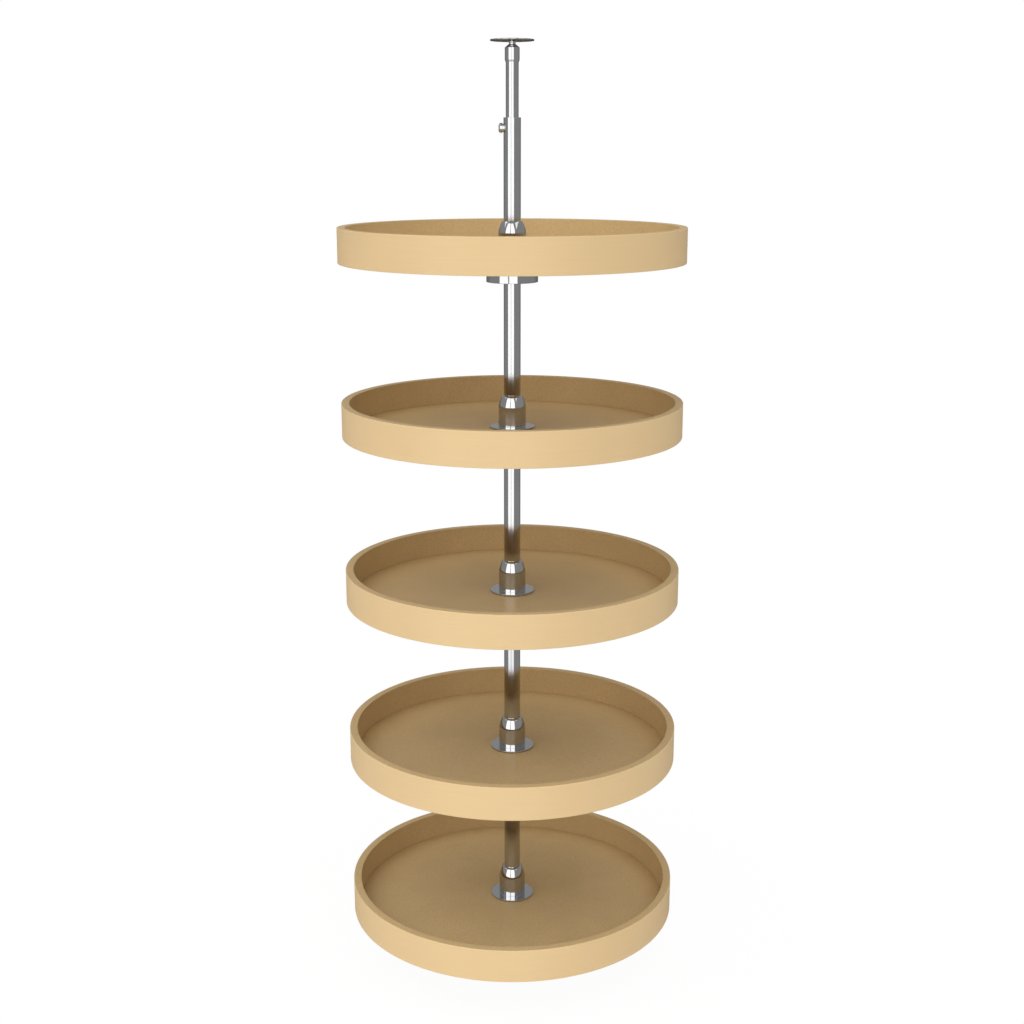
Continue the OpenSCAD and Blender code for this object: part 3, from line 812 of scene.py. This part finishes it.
def makeHousings():
    v = housing
    inside = v["skirt"] - v["wall"]
    under = v["webTop"] - v["web"]
    rings = [
        (v["skirt"], v["low"]), (v["skirt"], v["high"]), (inside, v["high"]), (inside, v["webTop"]),
        (v["bore"], v["webTop"]), (v["bore"], v["low"]), (v["boss"], v["low"]), (v["boss"], under),
        (inside, under), (inside, v["low"]),
    ]
    piece = turnPiece("bearingHousing1", rings, v["sides"], level=lowestTray)
    softenRings(piece, [*rings[:3], (v["boss"], v["low"])], v["edge"], lowestTray)
    smoothPiece(piece)
    cutAway(piece, [skirtHoleCutter(angle) for angle in v["holeAngles"]])
    joinRibs(piece, inside, under)
    repeatOnTrays(piece, "bearingHousing", "bearing_housing", "pole", "pressedChrome", "chrome_housing")


makeHousings()
print("bearing housings shaped")


saddle = {"wide": 6.0, "bore": 3.05, "inside": 11.0, "outside": 14.0, "edge": 0.35, "sides": 64}

pole = {
    "wall": 1.5,
    "edge": 0.35,
    "holeGap": 0.03,                        # round the saddle, in the hole it sits in
    "holeReach": 7.5,                       # the wall has rings this far above and below its middle
    "sides": 96,
}

extension = {"wall": 1.5, "edge": 0.3, "sides": 96}


def lockHeight():
    low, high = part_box("lock_screw")
    return (low.z + high.z) / 2


def layAlongLock(piece):
    # from upright at the origin to pointing out of the pole at the lock's height
    pickOnly(piece)
    piece.rotation_euler = (0, -math.pi / 2, 0)
    piece.location = (0, 0, lockHeight())
    bpy.ops.object.transform_apply(location=True, rotation=True, scale=False)


def lockHoleCutter():
    deselectAll()
    bpy.ops.mesh.primitive_cylinder_add(
        vertices=saddle["sides"], radius=(saddle["wide"] + pole["holeGap"]) * mm,
        depth=saddle["outside"] * mm, location=(0, 0, saddle["outside"] * mm))
    cutter = bpy.context.object
    bpy.ops.object.transform_apply(location=True, rotation=False, scale=False)
    layAlongLock(cutter)
    return cutter


def makeTube(name, node, values, body, slot):
    low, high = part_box(node)
    outer, inner = high.x / mm, high.x / mm - values["wall"]
    tall, level = (high.z - low.z) / mm, low.z / mm
    between = []
    if "holeReach" in values:
        middle = lockHeight() / mm - level
        between = [middle - values["holeReach"], middle + values["holeReach"]]
    outside = [(outer, z) for z in (0, *between, tall)]
    inside = [(inner, z) for z in (tall, *between[::-1], 0)]
    piece = turnPiece(name, outside + inside, values["sides"], level=level)
    softenRings(piece, [outside[0], outside[-1], inside[0], inside[-1]], values["edge"], level)
    if between:
        cutAway(piece, [lockHoleCutter()])
    smoothPiece(piece)
    dress(piece, "tubeChrome", body, slot, node)


makeTube("poleTube", "pole_tube", pole, "pole", "chrome_tube")
makeTube("extensionTube", "extension_tube", extension, "extension", "chrome_tube")
print("tubes shaped")


knob = {
    "head": 7.1, "headTall": 5.5, "round": 3.6, "roundSteps": 8, "edge": 0.6, "shaft": 3.0,
    "socket": 2.3, "socketDepth": 2.6, "socketSides": 6, "sides": 64,
}


def makeLockScrew():
    low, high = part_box("lock_screw")
    v = knob
    outer, tip = -low.x / mm, -high.x / mm
    seat = outer - v["headTall"]
    rings = [
        (v["shaft"], tip), (v["shaft"], seat), (v["head"] - v["edge"], seat),
        (v["head"], seat + v["edge"]),
    ]
    for k in range(v["roundSteps"] + 1):
        angle = math.pi / 2 * k / v["roundSteps"]
        rings.append((v["head"] - v["round"] + v["round"] * math.cos(angle),
                      outer - v["round"] + v["round"] * math.sin(angle)))
    piece = turnPiece("lockScrew", rings, v["sides"], closed=False)
    deselectAll()
    bpy.ops.mesh.primitive_cylinder_add(
        vertices=v["socketSides"], radius=v["socket"] * mm, depth=2 * v["socketDepth"] * mm,
        location=(0, 0, outer * mm))
    socket = bpy.context.object
    bpy.ops.object.transform_apply(location=True, rotation=False, scale=False)
    cutAway(piece, [socket])
    smoothPiece(piece)
    layAlongLock(piece)
    dress(piece, "hubChrome", "lock_knob", "chrome_knob", "lock_screw")


def makeLockSaddle():
    v = saddle
    rings = [
        (v["wide"], v["inside"]), (v["wide"], v["outside"]),
        (v["bore"], v["outside"]), (v["bore"], v["inside"]),
    ]
    piece = turnPiece("lockSaddle", rings, v["sides"])
    softenRings(piece, [rings[1]], v["edge"])
    smoothPiece(piece)
    layAlongLock(piece)
    dress(piece, "insertZinc", "pole", "insert_zinc", "lock_insert")


makeLockScrew()
makeLockSaddle()
print("lock screw shaped")


endCap = {
    "sleeve": 10.6, "tube": 9.28, "plug": 7.72, "plugDrop": 8.0, "bore": 4.05, "bevel": 3.0, "lip": 0.3,
    "coneTall": 4.6, "coneTip": 4.85, "roof": 2.0, "edge": 0.25, "sharpFrom": 20, "sides": 96,
}

neck = {
    "pin": 4.0, "narrow": 4.7, "wide": 7.5, "tall": 4.1, "rivet": 3.0, "edge": 0.4,
    "steps": 8, "sharpFrom": 30, "sides": 64,
}

topPlate = {"bore": 3.03, "thick": 2.0, "hole": 2.25, "sink": 1.0, "circle": 46, "edge": 0.95, "sides": 128}


def makeEndCap():
    low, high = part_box("top_cap")
    v = endCap
    bottom, coneTop = low.z / mm, high.z / mm
    sleeveLow = bottom + v["plugDrop"]
    bevelTop = sleeveLow + v["bevel"]
    sleeveTop = coneTop - v["coneTall"]
    slotTop = sleeveTop - v["roof"]
    rings = [
        (v["bore"], bottom), (v["plug"], bottom), (v["plug"], slotTop), (v["tube"], slotTop),
        (v["tube"], sleeveLow), (v["tube"] + v["lip"], sleeveLow), (v["sleeve"], bevelTop),
        (v["sleeve"], sleeveTop), (v["coneTip"], coneTop), (v["bore"], coneTop),
    ]
    shoulders = [(v["sleeve"], bevelTop), (v["sleeve"], sleeveTop), (v["coneTip"], coneTop)]
    piece = turnPiece("endCap", rings, v["sides"])
    softenRings(piece, shoulders, v["edge"])
    smoothPiece(piece, v["sharpFrom"])
    dress(piece, "hubChrome", "extension", "chrome_end", "top_cap")


def makeNeck():
    low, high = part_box("top_pivot")
    v = neck
    bottom, top, plateLow = low.z / mm, high.z / mm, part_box("top_plate")[0].z / mm
    neckLow = plateLow - v["tall"]
    flare = v["wide"] - v["narrow"]
    rings = [
        (v["pin"] - v["edge"], bottom), (v["pin"], bottom + v["edge"]), (v["pin"], neckLow),
        (v["narrow"], neckLow),
    ]
    for k in range(1, v["steps"] + 1):
        angle = math.pi / 2 * k / v["steps"]
        rings.append((v["narrow"] + flare * (1 - math.cos(angle)), neckLow + v["tall"] * math.sin(angle)))
    rings += [(v["rivet"], plateLow), (v["rivet"], top)]
    piece = turnPiece("flaredNeck", rings, v["sides"], closed=False)
    smoothPiece(piece, v["sharpFrom"])
    dress(piece, "hubChrome", "ceiling_plate", "chrome_plate", "top_pivot")


def makeTopPlate():
    low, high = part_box("top_plate")
    v = topPlate
    wide, level = high.x / mm, low.z / mm
    rings = [(wide, 0), (wide, v["thick"]), (v["bore"], v["thick"]), (v["bore"], 0)]
    piece = turnPiece("topPlate", rings, v["sides"], level=level)
    softenRings(piece, rings[:2], v["edge"], level)
    screwHoles(piece, v, level, fromAbove=False)
    smoothPiece(piece)
    dress(piece, "plateChrome", "ceiling_plate", "chrome_plate", "top_plate")


makeEndCap()
makeNeck()
makeTopPlate()
print("top end shaped")


basePlate = {"bore": 4.03, "thick": 3.0, "hole": 2.6, "sink": 1.6, "circle": 88, "edge": 0.5, "sides": 128}

basePivot = {
    "neck": 4.0, "lift": 0.2, "collar": 10.0, "collarTall": 3.0, "collarEdge": 0.4,
    "pin": 6.0, "edge": 0.6, "cup": 4.0, "cupTip": 0.05, "sides": 64,
}


def makeBasePlate():
    v = basePlate
    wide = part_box("base_plate")[1].x / mm
    rings = [(wide, 0), (wide, v["thick"]), (v["bore"], v["thick"]), (v["bore"], 0)]
    piece = turnPiece("basePlate", rings, v["sides"])
    softenRings(piece, [rings[1]], v["edge"])
    screwHoles(piece, v, 0, fromAbove=True)
    smoothPiece(piece)
    dress(piece, "baseZinc", "base", "base_zinc", "base_plate")


def makeBasePivot():
    v = basePivot
    thick = basePlate["thick"]
    collarTop = thick + v["collarTall"]
    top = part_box("base_pivot")[1].z / mm
    rings = [
        (v["neck"], v["lift"]), (v["neck"], thick), (v["collar"], thick), (v["collar"], collarTop),
        (v["pin"], collarTop), (v["pin"], top - v["edge"]), (v["pin"] - v["edge"], top),
        (v["cup"], top), (v["cupTip"], top - v["cup"]),
    ]
    piece = turnPiece("basePivot", rings, v["sides"], closed=False)
    softenRings(piece, [(v["collar"], collarTop)], v["collarEdge"])
    smoothPiece(piece)
    dress(piece, "bearingSteel", "base", "bearing_steel", "base_pivot")


makeBasePlate()
makeBasePivot()
print("base shaped")


# nodes that keep their CAD mesh, and what they are finished in
keptPieces = {
    # the floors take the darker copy of the board wood, which is painted shade
    "tray_floor": "shadedBoardWood",
    "race_plate": "bearingSteel",
    "hub_screws": "screwSteel",
    "bearing_cage": "cageAcetal",
    "bearing_balls": "bearingSteel",
    "housing_set_screws": "screwSteel",
    "guide_bush": "bushAcetal",
    "glide_plug": "bushAcetal",
    "clamp_pad": "padBrass",
    "foot_bush": "bushAcetal",
    "foot_ball": "bearingSteel",
}

for name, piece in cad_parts.items():
    stem = name.rsplit("_", 1)[0] if name[-1].isdigit() else name
    if stem in keptPieces:
        for slot in piece.material_slots:
            slot.material = finishes[keptPieces[stem]]
print("kept pieces finished")
